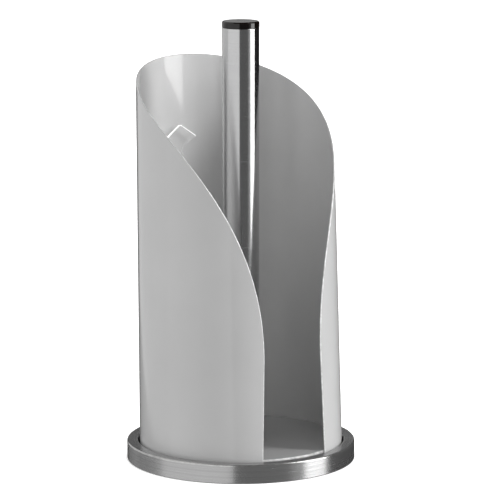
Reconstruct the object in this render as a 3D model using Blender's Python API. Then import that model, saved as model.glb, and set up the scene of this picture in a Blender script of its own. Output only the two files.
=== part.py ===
"""A free-standing holder for one roll of paper towels.

A painted sheet-steel sleeve with a sweeping cut edge stands in a weighted stainless base,
round a stainless pole. A clear sprung leaf on the sleeve's inner wall brakes the roll.
"""

import math

import bmesh
import bpy
from mathutils import Matrix, Vector

# All sizes are in metres, and all heights are measured from the table.

# Base
TOTAL_HEIGHT = 0.300
BASE_DIAMETER = 0.156
RING_SHEET = 0.0008
RING_RIM_WIDTH = 0.0074
RING_LIP_DROP = 0.0024
RING_EDGE_ROUND = 0.0011
RING_LIP_ROUND = 0.0005
RING_CLEAR_OF_TABLE = 0.0004

# Bottom plate, its screws and its feet
PLATE_THICKNESS = 0.0018
PLATE_INSET = 0.0004
FOOT_DIAMETER = 0.012
FOOT_POCKET_DEPTH = 0.0008
FOOT_RIM_MARGIN = 0.0095
FOOT_COUNT = 4
PLATE_SCREW_DIAMETER = 0.003
PLATE_SCREW_HEAD_DIAMETER = 0.0055
PLATE_SCREW_HEAD_HEIGHT = 0.0014
PLATE_SCREW_GRIP = 0.0044
PLATE_SCREW_RIM_MARGIN = 0.0155
PLATE_SCREW_COUNT = 3

# Ballast
BALLAST_THICKNESS = 0.006
BALLAST_BOSS_DIAMETER = 0.044
BALLAST_SEAT_THICKNESS = 0.0025
BALLAST_WASHER_ROOM = 0.0017

# Floor tray under the roll, which stands on the ballast and just above the ring
FLOOR_DEPTH = 0.0042
FLOOR_RISE = 0.0004
FLOOR_SHEET = 0.001
FLOOR_EDGE_ROUND = 0.0014

# Sleeve, a flat blank with straight sides and an arched top, rolled round the tray
SLEEVE_SHEET = 0.001
SLEEVE_TO_RING_GAP = 0.0013
SLEEVE_TOP = 0.2715
SLOT_WIDTH = 0.0515
SLOT_STRAIGHT_TOP = 0.0775
SLEEVE_TAPER = 0.0122
SLEEVE_LEAN = 0.0175
SLEEVE_HIGH_SIDE = math.radians(123.75)
SLEEVE_UPRIGHT_SIDE = math.radians(182)

# Pole
POLE_DIAMETER = 0.025
POLE_WALL = 0.001
POLE_MOUTH_ROUND = 0.0004
POLE_SEAT_MARGIN = 0.0006
POLE_SEAT_DEPTH = 0.0003
CAP_HEIGHT = 0.0041
CAP_OVERHANG = 0.00015
CAP_CHAMFER = 0.0008
CAP_PLUG_DEPTH = 0.009
CAP_WALL = 0.0018
INSERT_LENGTH = 0.016
BOLT_DIAMETER = 0.006
BOLT_HEAD_DIAMETER = 0.010
BOLT_HEAD_HEIGHT = 0.004
BOLT_REACH = 0.013
WASHER_DIAMETER = 0.018
WASHER_THICKNESS = 0.0016
SPRING_WASHER_DIAMETER = 0.0118
SPRING_WASHER_THICKNESS = 0.0016
SPRING_WASHER_SPLIT = 0.0012

# Roll brake
BRAKE_SIDE = math.radians(129.3)
BRAKE_HINGE_HEIGHT = 0.172
BRAKE_PAD_HEIGHT = 0.2146
BRAKE_PAD_WIDTH = 0.0275
BRAKE_PAD_LENGTH = 0.017
BRAKE_TIP_WIDTH = 0.0014
BRAKE_STEM_WIDTH = 0.005
BRAKE_THICKNESS = 0.0016
BRAKE_STAND_OFF = 0.004
BRAKE_FOOT_WIDTH = 0.014
BRAKE_FOOT_LENGTH = 0.018
BRAKE_FOOT_THICKNESS = 0.0024
BRAKE_TAPE_THICKNESS = 0.0008
BRAKE_TAPE_MARGIN = 0.001
BRAKE_ROOT_GAP = 0.0005

# Clearances
FIT_GAP = 0.0003
BALLAST_TO_RING_GAP = 0.0003

# How finely round shapes are divided
BASE_STEPS = 96
POLE_STEPS = 48
SMALL_STEPS = 24
ARC_STEPS = 3
SLEEVE_COLUMNS = 108
SLEEVE_ROWS = 8
BRAKE_COLUMNS = 8

# Radii and heights that follow from the sizes above
BASE_RADIUS = BASE_DIAMETER / 2
RING_INNER_RADIUS = BASE_RADIUS - RING_SHEET
RING_MOUTH_RADIUS = BASE_RADIUS - RING_RIM_WIDTH
SLEEVE_RADIUS = RING_MOUTH_RADIUS - SLEEVE_TO_RING_GAP
TRAY_RADIUS = SLEEVE_RADIUS - SLEEVE_SHEET - FIT_GAP
POLE_RADIUS = POLE_DIAMETER / 2
POLE_BORE_RADIUS = POLE_RADIUS - POLE_WALL
BOLT_HOLE_RADIUS = BOLT_DIAMETER / 2 + FIT_GAP
BALLAST_POCKET_RADIUS = WASHER_DIAMETER / 2 + BALLAST_WASHER_ROOM
PLATE_ACCESS_RADIUS = BALLAST_POCKET_RADIUS + FIT_GAP

PLATE_BOTTOM = RING_CLEAR_OF_TABLE + PLATE_INSET
PLATE_TOP = PLATE_BOTTOM + PLATE_THICKNESS
BALLAST_BOTTOM = PLATE_TOP + FIT_GAP
BALLAST_TOP = BALLAST_BOTTOM + BALLAST_THICKNESS
SLEEVE_BOTTOM = BALLAST_TOP + FIT_GAP
FLOOR_TOP = SLEEVE_BOTTOM + FLOOR_DEPTH
FLOOR_UNDERSIDE = FLOOR_TOP - FLOOR_SHEET
RING_TOP = FLOOR_TOP - FLOOR_RISE
BOSS_TOP = FLOOR_UNDERSIDE - FIT_GAP
SEAT_HEIGHT = BOSS_TOP - BALLAST_SEAT_THICKNESS
POLE_SEAT = FLOOR_TOP - POLE_SEAT_DEPTH
POLE_BOTTOM = POLE_SEAT + FIT_GAP
POLE_TOP = TOTAL_HEIGHT - CAP_HEIGHT - FIT_GAP


def clear_scene():
    for item in list(bpy.data.objects):
        bpy.data.objects.remove(item, do_unlink=True)


def make_material(name, colour, roughness, metallic, alpha=1.0):
    material = bpy.data.materials.new(name)
    material.use_nodes = True
    shader = material.node_tree.nodes["Principled BSDF"]
    shader.inputs["Base Color"].default_value = (*colour, 1.0)
    shader.inputs["Roughness"].default_value = roughness
    shader.inputs["Metallic"].default_value = metallic
    shader.inputs["Alpha"].default_value = alpha
    return material


def make_materials():
    return {
        "stainless": make_material("brushed_stainless", (0.56, 0.56, 0.57), 0.28, 1.0),
        "paint": make_material("silver_grey_paint", (0.60, 0.60, 0.60), 0.25, 0.3),
        "iron": make_material("cast_iron", (0.12, 0.12, 0.125), 0.7, 0.8),
        "plate": make_material("black_plate_plastic", (0.03, 0.03, 0.032), 0.6, 0.0),
        "rubber": make_material("foot_rubber", (0.05, 0.05, 0.05), 0.85, 0.0),
        "cap": make_material("dark_cap_plastic", (0.035, 0.022, 0.018), 0.35, 0.0),
        "zinc": make_material("zinc_plated_steel", (0.62, 0.62, 0.6), 0.35, 1.0),
        "clear": make_material("clear_plastic", (0.95, 0.96, 0.96), 0.1, 0.0, 0.35),
        "tape": make_material("clear_tape", (0.9, 0.9, 0.9), 0.5, 0.0, 0.5),
    }


def add_object(name, mesh, material, sharp_angle=35):
    """Puts a mesh in the scene, with its round faces smooth and its hard edges sharp."""
    mesh.shade_smooth()
    mesh.set_sharp_from_angle(angle=math.radians(sharp_angle))
    item = bpy.data.objects.new(name, mesh)
    item.data.materials.append(material)
    bpy.context.collection.objects.link(item)
    return item


def mesh_from(name, points, faces):
    mesh = bpy.data.meshes.new(name)
    mesh.from_pydata(points, [], faces)
    mesh.validate()
    return mesh


def rounded(corners, steps=ARC_STEPS):
    """Turns (radius, height, round) corners of a closed outline into points, each round an arc."""
    outline = []
    for index, (radius, height, fillet) in enumerate(corners):
        corner = Vector((radius, height))
        if fillet == 0:
            outline.append(corner)
            continue
        before = Vector(corners[index - 1][:2]) - corner
        after = Vector(corners[(index + 1) % len(corners)][:2]) - corner
        half = before.angle(after) / 2
        reach = fillet / math.tan(half)
        start = corner + before.normalized() * reach
        end = corner + after.normalized() * reach
        middle = (before.normalized() + after.normalized()).normalized()
        centre = corner + middle * fillet / math.sin(half)
        sweep = (start - centre).angle_signed(end - centre)
        for step in range(steps + 1):
            turn = Matrix.Rotation(-sweep * step / steps, 2)
            outline.append(centre + turn @ (start - centre))
    return outline


def turned_mesh(name, outline, steps):
    """Turns a closed (radius, height) outline, which keeps clear of the axis, round +Z."""
    points = []
    for step in range(steps):
        angle = 2 * math.pi * step / steps
        points += [(r * math.cos(angle), r * math.sin(angle), z) for r, z in outline]
    count = len(outline)
    faces = []
    for step in range(steps):
        here = step * count
        there = (step + 1) % steps * count
        for index in range(count):
            following = (index + 1) % count
            faces.append((here + index, here + following, there + following, there + index))
    mesh = mesh_from(name, points, faces)
    face_outwards(mesh)
    return mesh


def solid_turned_mesh(name, outline, steps):
    """Turns an open outline whose first and last points are on the axis round +Z."""
    inner = outline[1:-1]
    points = [(0, 0, outline[0][1])]
    for step in range(steps):
        angle = 2 * math.pi * step / steps
        points += [(r * math.cos(angle), r * math.sin(angle), z) for r, z in inner]
    points.append((0, 0, outline[-1][1]))
    count = len(inner)
    last = len(points) - 1
    faces = []
    for step in range(steps):
        here = 1 + step * count
        there = 1 + (step + 1) % steps * count
        faces.append((0, here, there))
        for index in range(count - 1):
            faces.append((here + index, here + index + 1, there + index + 1, there + index))
        faces.append((last, there + count - 1, here + count - 1))
    mesh = mesh_from(name, points, faces)
    face_outwards(mesh)
    return mesh


def face_outwards(mesh):
    shape = bmesh.new()
    shape.from_mesh(mesh)
    bmesh.ops.recalc_face_normals(shape, faces=shape.faces)
    shape.to_mesh(mesh)
    shape.free()


def add_prism(shape, sides, radius, low, high, centre=(0, 0), turn=0.0):
    """Adds an upright prism with the given number of sides to a bmesh."""
    place = Matrix.Translation((centre[0], centre[1], (low + high) / 2))
    bmesh.ops.create_cone(
        shape,
        cap_ends=True,
        segments=sides,
        radius1=radius,
        radius2=radius,
        depth=high - low,
        matrix=place @ Matrix.Rotation(turn, 4, "Z"),
    )


def cut_with(item, shape):
    """Cuts a bmesh of separate closed bodies out of an object."""
    mesh = bpy.data.meshes.new(item.name + "_cutter")
    shape.to_mesh(mesh)
    shape.free()
    cutter = bpy.data.objects.new(item.name + "_cutter", mesh)
    cutter.hide_render = True
    cutter.display_type = "WIRE"
    bpy.context.collection.objects.link(cutter)
    modifier = item.modifiers.new("cut", "BOOLEAN")
    modifier.operation = "DIFFERENCE"
    modifier.solver = "EXACT"
    modifier.object = cutter


def around(count, radius, first_angle):
    """Centres of a number of equal features on a circle about the axis."""
    for index in range(count):
        angle = first_angle + 2 * math.pi * index / count
        yield radius * math.cos(angle), radius * math.sin(angle)


def foot_places():
    return list(around(FOOT_COUNT, BASE_RADIUS - FOOT_RIM_MARGIN - FOOT_DIAMETER / 2, math.pi / 4))


def plate_screw_places():
    radius = BASE_RADIUS - PLATE_SCREW_RIM_MARGIN - PLATE_SCREW_HEAD_DIAMETER / 2
    return list(around(PLATE_SCREW_COUNT, radius, math.pi / 2))


def make_base_ring(materials):
    """The spun stainless ring: an outer wall, a flat rim and a lip turned down at its mouth."""
    corners = [
        (RING_MOUTH_RADIUS, RING_TOP - RING_LIP_DROP, 0),
        (RING_MOUTH_RADIUS, RING_TOP, RING_LIP_ROUND),
        (BASE_RADIUS, RING_TOP, RING_EDGE_ROUND),
        (BASE_RADIUS, RING_CLEAR_OF_TABLE, 0),
        (RING_INNER_RADIUS, RING_CLEAR_OF_TABLE, 0),
        (RING_INNER_RADIUS, RING_TOP - RING_SHEET, 0),
        (RING_MOUTH_RADIUS + RING_SHEET, RING_TOP - RING_SHEET, 0),
        (RING_MOUTH_RADIUS + RING_SHEET, RING_TOP - RING_LIP_DROP, 0),
    ]
    mesh = turned_mesh("base_ring", rounded(corners), BASE_STEPS)
    add_object("base_ring", mesh, materials["stainless"])


def make_ballast_disc(materials):
    """The cast weight that the ring is pressed over, with a boss that carries tray and pole."""
    rim = RING_INNER_RADIUS - BALLAST_TO_RING_GAP
    boss = BALLAST_BOSS_DIAMETER / 2
    corners = [
        (BALLAST_POCKET_RADIUS, BALLAST_BOTTOM, 0),
        (rim, BALLAST_BOTTOM, 0),
        (rim, BALLAST_TOP, 0),
        (boss, BALLAST_TOP, 0),
        (boss, BOSS_TOP, 0),
        (BOLT_HOLE_RADIUS, BOSS_TOP, 0),
        (BOLT_HOLE_RADIUS, SEAT_HEIGHT, 0),
        (BALLAST_POCKET_RADIUS, SEAT_HEIGHT, 0),
    ]
    mesh = turned_mesh("ballast_disc", rounded(corners), BASE_STEPS)
    disc = add_object("ballast_disc", mesh, materials["iron"])
    holes = bmesh.new()
    for place in plate_screw_places():
        radius = PLATE_SCREW_DIAMETER / 2 + FIT_GAP
        high = PLATE_TOP + PLATE_SCREW_GRIP + 2 * FIT_GAP
        add_prism(holes, SMALL_STEPS, radius, BALLAST_BOTTOM - FIT_GAP, high, place)
    cut_with(disc, holes)


def make_bottom_plate(materials):
    """The moulded plate under the ballast, with pockets for the feet and sunk screw heads."""
    outline = [
        (PLATE_ACCESS_RADIUS, PLATE_BOTTOM),
        (RING_INNER_RADIUS - FIT_GAP, PLATE_BOTTOM),
        (RING_INNER_RADIUS - FIT_GAP, PLATE_TOP),
        (PLATE_ACCESS_RADIUS, PLATE_TOP),
    ]
    mesh = turned_mesh("bottom_plate", outline, BASE_STEPS)
    plate = add_object("bottom_plate", mesh, materials["plate"])
    cuts = bmesh.new()
    for place in foot_places():
        radius = FOOT_DIAMETER / 2 + FIT_GAP
        add_prism(cuts, SMALL_STEPS, radius, 0, PLATE_BOTTOM + FOOT_POCKET_DEPTH, place)
    for place in plate_screw_places():
        hole = PLATE_SCREW_DIAMETER / 2 + FIT_GAP
        sink = PLATE_SCREW_HEAD_DIAMETER / 2 + FIT_GAP
        shoulder = PLATE_BOTTOM + PLATE_SCREW_HEAD_HEIGHT + FIT_GAP
        outline = [(0, 0), (sink, 0), (sink, PLATE_BOTTOM), (hole, shoulder)]
        outline += [(hole, PLATE_TOP + FIT_GAP), (0, PLATE_TOP + FIT_GAP)]
        tool = solid_turned_mesh("sink", outline, SMALL_STEPS)
        tool.transform(Matrix.Translation((*place, 0)))
        cuts.from_mesh(tool)
        bpy.data.meshes.remove(tool)
    cut_with(plate, cuts)


def make_plate_screws(materials):
    """Countersunk screws with a hexagon socket, up through the plate into the ballast."""
    shank = PLATE_SCREW_DIAMETER / 2
    head = PLATE_SCREW_HEAD_DIAMETER / 2
    neck = PLATE_BOTTOM + PLATE_SCREW_HEAD_HEIGHT
    tip = PLATE_TOP + PLATE_SCREW_GRIP
    outline = [(0, PLATE_BOTTOM), (head, PLATE_BOTTOM), (shank, neck), (shank, tip), (0, tip)]
    for number, place in enumerate(plate_screw_places(), 1):
        name = f"bottom_screw_{number}"
        mesh = solid_turned_mesh(name, outline, SMALL_STEPS)
        mesh.transform(Matrix.Translation((*place, 0)))
        screw = add_object(name, mesh, materials["zinc"])
        socket = bmesh.new()
        depth = PLATE_SCREW_HEAD_HEIGHT / 2
        add_prism(socket, 6, shank * 0.6, PLATE_BOTTOM - depth, PLATE_BOTTOM + depth, place)
        cut_with(screw, socket)


def make_feet(materials):
    """Rubber pads pressed into the plate's pockets, which stand just proud of the ring."""
    top = PLATE_BOTTOM + FOOT_POCKET_DEPTH - FIT_GAP
    outline = [(0, 0), (FOOT_DIAMETER / 2, 0), (FOOT_DIAMETER / 2, top), (0, top)]
    for number, place in enumerate(foot_places(), 1):
        mesh = solid_turned_mesh(f"foot_pad_{number}", outline, SMALL_STEPS)
        mesh.transform(Matrix.Translation((*place, 0)))
        add_object(f"foot_pad_{number}", mesh, materials["rubber"])


def make_floor_disc(materials):
    """The painted tray, with a rounded edge, a skirt turned down and a recess for the pole."""
    seat = POLE_RADIUS + POLE_SEAT_MARGIN
    corners = [
        (BOLT_HOLE_RADIUS, FLOOR_UNDERSIDE, 0),
        (TRAY_RADIUS - FLOOR_SHEET, FLOOR_UNDERSIDE, FLOOR_EDGE_ROUND - FLOOR_SHEET),
        (TRAY_RADIUS - FLOOR_SHEET, SLEEVE_BOTTOM, 0),
        (TRAY_RADIUS, SLEEVE_BOTTOM, 0),
        (TRAY_RADIUS, FLOOR_TOP, FLOOR_EDGE_ROUND),
        (seat, FLOOR_TOP, 0),
        (seat, POLE_SEAT, 0),
        (BOLT_HOLE_RADIUS, POLE_SEAT, 0),
    ]
    mesh = turned_mesh("floor_disc", rounded(corners), BASE_STEPS)
    add_object("floor_disc", mesh, materials["paint"])


def sleeve_radius(height):
    """Outer radius. The sleeve fits the tray at its foot and draws in steadily above it."""
    return SLEEVE_RADIUS - SLEEVE_TAPER * max(0.0, height - FLOOR_TOP)


def sleeve_point(angle, height, depth):
    """A point of the sleeve, a given depth in from its outer face.

    The round section moves towards one side as it draws in, so that side stands nearly upright.
    """
    radius = sleeve_radius(height)
    shift = SLEEVE_LEAN * max(0.0, height - FLOOR_TOP)
    across = shift * math.cos(SLEEVE_UPRIGHT_SIDE) + (radius - depth) * math.cos(angle)
    back = shift * math.sin(SLEEVE_UPRIGHT_SIDE) + (radius - depth) * math.sin(angle)
    return across, back, height


def sheet_mesh(name, outer, inner, columns, rows):
    """Closes two matching grids of points, given column by column, with a strip round the rim."""
    column_size = rows + 1
    skin = len(outer)
    faces = []
    for column in range(columns):
        for row in range(rows):
            corner = column * column_size + row
            quad = (corner, corner + column_size, corner + column_size + 1, corner + 1)
            faces.append(quad)
            faces.append(tuple(skin + index for index in reversed(quad)))
    rim = [column * column_size for column in range(columns)]
    rim += [columns * column_size + row for row in range(rows)]
    rim += [column * column_size + rows for column in range(columns, 0, -1)]
    rim += list(range(rows, 0, -1))
    for index, corner in enumerate(rim):
        following = rim[(index + 1) % len(rim)]
        faces.append((corner, corner + skin, following + skin, following))
    mesh = mesh_from(name, outer + inner, faces)
    face_outwards(mesh)
    return mesh


def make_sleeve(materials):
    """The blank is a rectangle with an arched top, so the rolled edge sweeps down to the slot."""
    half_blank = math.pi * SLEEVE_RADIUS - SLOT_WIDTH / 2
    arch = SLEEVE_TOP - SLOT_STRAIGHT_TOP
    skins = ([], [])
    for column in range(SLEEVE_COLUMNS + 1):
        sweep = math.pi * (column / SLEEVE_COLUMNS - 0.5)
        along = half_blank * math.sin(sweep)
        edge = SLOT_STRAIGHT_TOP + arch * math.cos(sweep)
        heights = [SLEEVE_BOTTOM]
        for row in range(SLEEVE_ROWS):
            heights.append(FLOOR_TOP + (edge - FLOOR_TOP) * row / (SLEEVE_ROWS - 1))
        for height in heights:
            angle = SLEEVE_HIGH_SIDE + along / sleeve_radius(height)
            for skin, depth in zip(skins, (0, SLEEVE_SHEET)):
                skin.append(sleeve_point(angle, height, depth))
    mesh = sheet_mesh("sleeve", *skins, SLEEVE_COLUMNS, SLEEVE_ROWS)
    add_object("sleeve", mesh, materials["paint"])


def make_pole(materials):
    """A plain tube, open at both ends, with its top edge just broken."""
    corners = [
        (POLE_BORE_RADIUS, POLE_BOTTOM, 0),
        (POLE_RADIUS, POLE_BOTTOM, 0),
        (POLE_RADIUS, POLE_TOP, POLE_MOUTH_ROUND),
        (POLE_BORE_RADIUS, POLE_TOP, 0),
    ]
    mesh = turned_mesh("pole_tube", rounded(corners), POLE_STEPS)
    add_object("pole_tube", mesh, materials["stainless"])


def make_pole_cap(materials):
    """A plastic lid with a chamfered rim and a hollow plug that fits the tube."""
    head = POLE_RADIUS + CAP_OVERHANG
    plug = POLE_BORE_RADIUS - FIT_GAP
    bottom = TOTAL_HEIGHT - CAP_HEIGHT
    outline = [
        (0, bottom),
        (plug - CAP_WALL, bottom),
        (plug - CAP_WALL, bottom - CAP_PLUG_DEPTH),
        (plug, bottom - CAP_PLUG_DEPTH),
        (plug, bottom),
        (head, bottom),
        (head, TOTAL_HEIGHT - CAP_CHAMFER),
        (head - CAP_CHAMFER, TOTAL_HEIGHT),
        (0, TOTAL_HEIGHT),
    ]
    mesh = solid_turned_mesh("pole_cap", outline, POLE_STEPS)
    add_object("pole_cap", mesh, materials["cap"])


def make_pole_insert(materials):
    """The threaded plug pressed into the tube's foot."""
    plug = POLE_BORE_RADIUS - FIT_GAP
    outline = [
        (BOLT_HOLE_RADIUS, POLE_BOTTOM),
        (plug, POLE_BOTTOM),
        (plug, POLE_BOTTOM + INSERT_LENGTH),
        (BOLT_HOLE_RADIUS, POLE_BOTTOM + INSERT_LENGTH),
    ]
    mesh = turned_mesh("pole_insert", outline, POLE_STEPS)
    add_object("pole_insert", mesh, materials["zinc"])


def make_pole_fasteners(materials):
    """From the ballast's seat down: a flat washer, a split spring washer and the bolt's head."""
    washer_bottom = SEAT_HEIGHT - FIT_GAP - WASHER_THICKNESS
    outline = [
        (BOLT_HOLE_RADIUS, washer_bottom),
        (WASHER_DIAMETER / 2, washer_bottom),
        (WASHER_DIAMETER / 2, washer_bottom + WASHER_THICKNESS),
        (BOLT_HOLE_RADIUS, washer_bottom + WASHER_THICKNESS),
    ]
    add_object("flat_washer", turned_mesh("flat_washer", outline, SMALL_STEPS), materials["zinc"])

    spring_bottom = washer_bottom - FIT_GAP - SPRING_WASHER_THICKNESS
    outline = [
        (BOLT_HOLE_RADIUS, spring_bottom),
        (SPRING_WASHER_DIAMETER / 2, spring_bottom),
        (SPRING_WASHER_DIAMETER / 2, spring_bottom + SPRING_WASHER_THICKNESS),
        (BOLT_HOLE_RADIUS, spring_bottom + SPRING_WASHER_THICKNESS),
    ]
    mesh = turned_mesh("spring_washer", outline, SMALL_STEPS)
    spring = add_object("spring_washer", mesh, materials["zinc"])
    split = bmesh.new()
    size = Vector((SPRING_WASHER_DIAMETER, SPRING_WASHER_SPLIT, SPRING_WASHER_THICKNESS * 2))
    place = Vector((SPRING_WASHER_DIAMETER / 2, 0, spring_bottom + SPRING_WASHER_THICKNESS / 2))
    scale = Matrix.Diagonal((*size, 1))
    bmesh.ops.create_cube(split, size=1, matrix=Matrix.Translation(place) @ scale)
    cut_with(spring, split)

    head_top = spring_bottom - FIT_GAP
    head_bottom = head_top - BOLT_HEAD_HEIGHT
    shank = BOLT_DIAMETER / 2
    tip = POLE_BOTTOM + BOLT_REACH
    outline = [
        (0, head_bottom),
        (BOLT_HEAD_DIAMETER / 2, head_bottom),
        (BOLT_HEAD_DIAMETER / 2, head_top),
        (shank, head_top),
        (shank, tip),
        (0, tip),
    ]
    mesh = solid_turned_mesh("pole_bolt", outline, SMALL_STEPS)
    bolt = add_object("pole_bolt", mesh, materials["zinc"])
    socket = bmesh.new()
    depth = BOLT_HEAD_HEIGHT / 2
    add_prism(socket, 6, shank, head_bottom - depth, head_bottom + depth)
    cut_with(bolt, socket)


def brake_frame():
    """A frame on the sleeve's inner wall at the brake's hinge: x along the wall, y inwards, z up.

    z runs up the wall's straight line, so the brake follows the sleeve's slight lean.
    """
    low = Vector(sleeve_point(BRAKE_SIDE, BRAKE_HINGE_HEIGHT, SLEEVE_SHEET))
    high = Vector(sleeve_point(BRAKE_SIDE, BRAKE_PAD_HEIGHT, SLEEVE_SHEET))
    up = (high - low).normalized()
    level = Vector((-math.cos(BRAKE_SIDE), -math.sin(BRAKE_SIDE), 0))
    inwards = (level - up * level.dot(up)).normalized()
    turn = Matrix((inwards.cross(up), inwards, up)).transposed()
    return Matrix.Translation(low) @ turn.to_4x4()


def make_brake_piece(name, rows, material, pivot=0.0):
    """A plate curved to the wall, from rows of (height, half width, back, front) off the wall."""
    wall = sleeve_radius(BRAKE_HINGE_HEIGHT) - SLEEVE_SHEET
    skins = ([], [])
    for column in range(BRAKE_COLUMNS + 1):
        for height, half_width, back, front in rows:
            across = half_width * (2 * column / BRAKE_COLUMNS - 1)
            angle = across / (wall - back)
            for skin, off_wall in zip(skins, (back, front)):
                radius = wall - off_wall
                inwards = wall - radius * math.cos(angle) - pivot
                skin.append((radius * math.sin(angle), inwards, height))
    mesh = sheet_mesh(name, *skins, BRAKE_COLUMNS, len(rows) - 1)
    item = add_object(name, mesh, material)
    item.matrix_world = brake_frame() @ Matrix.Translation((0, pivot, 0))


def make_brake(materials):
    """A clear leaf with a pointed pad, on a foot that is taped to the wall. It flexes at its root."""
    tape_back = FIT_GAP
    foot_back = tape_back + BRAKE_TAPE_THICKNESS + FIT_GAP
    foot_front = foot_back + BRAKE_FOOT_THICKNESS
    foot_low = -BRAKE_FOOT_LENGTH
    tape_low = foot_low + BRAKE_TAPE_MARGIN
    tape_half = BRAKE_FOOT_WIDTH / 2 - BRAKE_TAPE_MARGIN
    tape_rows = [
        (tape_low, tape_half, tape_back, tape_back + BRAKE_TAPE_THICKNESS),
        (-BRAKE_TAPE_MARGIN, tape_half, tape_back, tape_back + BRAKE_TAPE_THICKNESS),
    ]
    make_brake_piece("brake_tape", tape_rows, materials["tape"])
    foot_rows = [(height, BRAKE_FOOT_WIDTH / 2, foot_back, foot_front) for height in (foot_low, 0)]
    make_brake_piece("brake_foot", foot_rows, materials["clear"])

    # The leaf leans in from the middle of the foot's top, so its pad stands off the wall.
    pad_centre = BRAKE_PAD_HEIGHT - BRAKE_HINGE_HEIGHT
    root_back = (foot_back + foot_front - BRAKE_THICKNESS) / 2
    lean = (BRAKE_STAND_OFF - root_back) / pad_centre
    pad_half_length = BRAKE_PAD_LENGTH / 2
    stem = BRAKE_STEM_WIDTH / 2
    shoulder = pad_centre - pad_half_length * (1 - BRAKE_STEM_WIDTH / BRAKE_PAD_WIDTH)
    outline = [
        (BRAKE_ROOT_GAP, stem),
        (shoulder, stem),
        (pad_centre, BRAKE_PAD_WIDTH / 2),
        (pad_centre + pad_half_length, BRAKE_TIP_WIDTH / 2),
    ]
    leaf_rows = []
    for height, half_width in outline:
        back = root_back + lean * height
        leaf_rows.append((height, half_width, back, back + BRAKE_THICKNESS))
    pivot = root_back + BRAKE_THICKNESS / 2
    make_brake_piece("brake_leaf", leaf_rows, materials["clear"], pivot)


def main():
    clear_scene()
    materials = make_materials()
    make_base_ring(materials)
    make_ballast_disc(materials)
    make_bottom_plate(materials)
    make_plate_screws(materials)
    make_feet(materials)
    make_floor_disc(materials)
    make_sleeve(materials)
    make_pole(materials)
    make_pole_cap(materials)
    make_pole_insert(materials)
    make_pole_fasteners(materials)
    make_brake(materials)


main()
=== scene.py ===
import math

import bpy
import numpy as np
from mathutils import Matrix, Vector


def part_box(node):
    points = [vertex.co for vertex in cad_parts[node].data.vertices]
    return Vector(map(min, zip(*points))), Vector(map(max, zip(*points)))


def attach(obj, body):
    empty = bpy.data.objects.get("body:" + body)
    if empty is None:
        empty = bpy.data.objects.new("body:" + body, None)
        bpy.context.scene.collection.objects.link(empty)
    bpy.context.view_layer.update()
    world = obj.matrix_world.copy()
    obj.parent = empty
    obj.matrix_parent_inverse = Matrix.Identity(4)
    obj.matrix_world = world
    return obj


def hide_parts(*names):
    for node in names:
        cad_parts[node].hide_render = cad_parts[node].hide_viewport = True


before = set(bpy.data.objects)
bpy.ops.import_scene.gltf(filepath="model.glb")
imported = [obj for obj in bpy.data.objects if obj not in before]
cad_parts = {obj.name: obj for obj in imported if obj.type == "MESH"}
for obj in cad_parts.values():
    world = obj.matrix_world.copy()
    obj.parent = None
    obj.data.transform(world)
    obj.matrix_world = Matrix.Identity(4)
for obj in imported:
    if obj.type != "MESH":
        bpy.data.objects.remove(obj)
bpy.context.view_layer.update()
print("frame loaded:", len(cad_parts), "nodes")

# Every row of an array of vectors, divided by its own length.
def unitRows(vectors):
    return vectors / np.maximum(np.linalg.norm(vectors, axis=-1, keepdims=True), 1e-12)


guardShare, guardMost = 0.7, 0.0004  # how far a guard point is from its arc: a share of the round, a limit
hexFlat = 0.866  # a hexagon's width across its flats, as a share of its width across its corners


# Rounds a closed (distance out, height) outline. Each corner is (out, height, round). The arc's centre lies
# on the bisector of the corner's two sides, round / sin(half angle) away, and the arc turns about it from
# one tangent point to the other. A guard point is added on each side of the arc, so a flat stays flat up to
# its edge. It returns the points, and for each point 1 on a rounded edge and 0 beside it.
def roundedOutline(corners, steps=6):
    corners = np.array(corners, float)
    spot, size = corners[:, :2], corners[:, 2:]
    before = unitRows(np.roll(spot, 1, axis=0) - spot)
    after = unitRows(np.roll(spot, -1, axis=0) - spot)
    half = 0.5 * np.arccos(np.clip((before * after).sum(1, keepdims=True), -1, 1))
    reach = size / np.tan(half)
    centre = spot + unitRows(before + after) * size / np.sin(half)
    first = spot + before * reach - centre
    last = spot + after * reach - centre
    cross = first[:, 0] * last[:, 1] - first[:, 1] * last[:, 0]
    turn = np.arctan2(cross, (first * last).sum(1))[:, None] * np.linspace(0, 1, steps + 1)
    cosine, sine = np.cos(turn), np.sin(turn)
    arc = np.stack([
        centre[:, :1] + first[:, :1] * cosine - first[:, 1:] * sine,
        centre[:, 1:] + first[:, :1] * sine + first[:, 1:] * cosine,
    ], axis=2)
    guard = np.minimum(guardShare * size, guardMost)
    start = (spot + before * (reach + guard))[:, None]
    end = (spot + after * (reach + guard))[:, None]
    points = np.concatenate([start, arc, end], axis=1)
    edge = np.ones(points.shape[:2])
    edge[:, [0, -1]] = 0
    keep = np.ones(points.shape[:2], bool)
    keep[size[:, 0] == 0] = np.arange(steps + 3) == 1
    return points[keep], edge[keep]


# Puts points and faces into a mesh. The faces are turned over if the volume they enclose comes out
# negative: a sixth of the sum, over the triangles, of the triple product of their corners.
def closedMesh(name, points, quads, triangles, edge):
    fans = [quads[:, [0, 1, 2]], quads[:, [0, 2, 3]], triangles]
    a, b, c = (points[np.concatenate(fans)[:, k]] for k in range(3))
    if (a * np.cross(b, c)).sum() < 0:
        quads, triangles = quads[:, ::-1], triangles[:, ::-1]
    mesh = bpy.data.meshes.new(name)
    mesh.from_pydata(points.tolist(), [], quads.tolist() + triangles.tolist())
    mesh.shade_smooth()
    wearAndPaintedLight = mesh.attributes.new("edge", "FLOAT", "POINT")
    wearAndPaintedLight.data.foreach_set("value", np.asarray(edge, np.float32))
    return mesh


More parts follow.
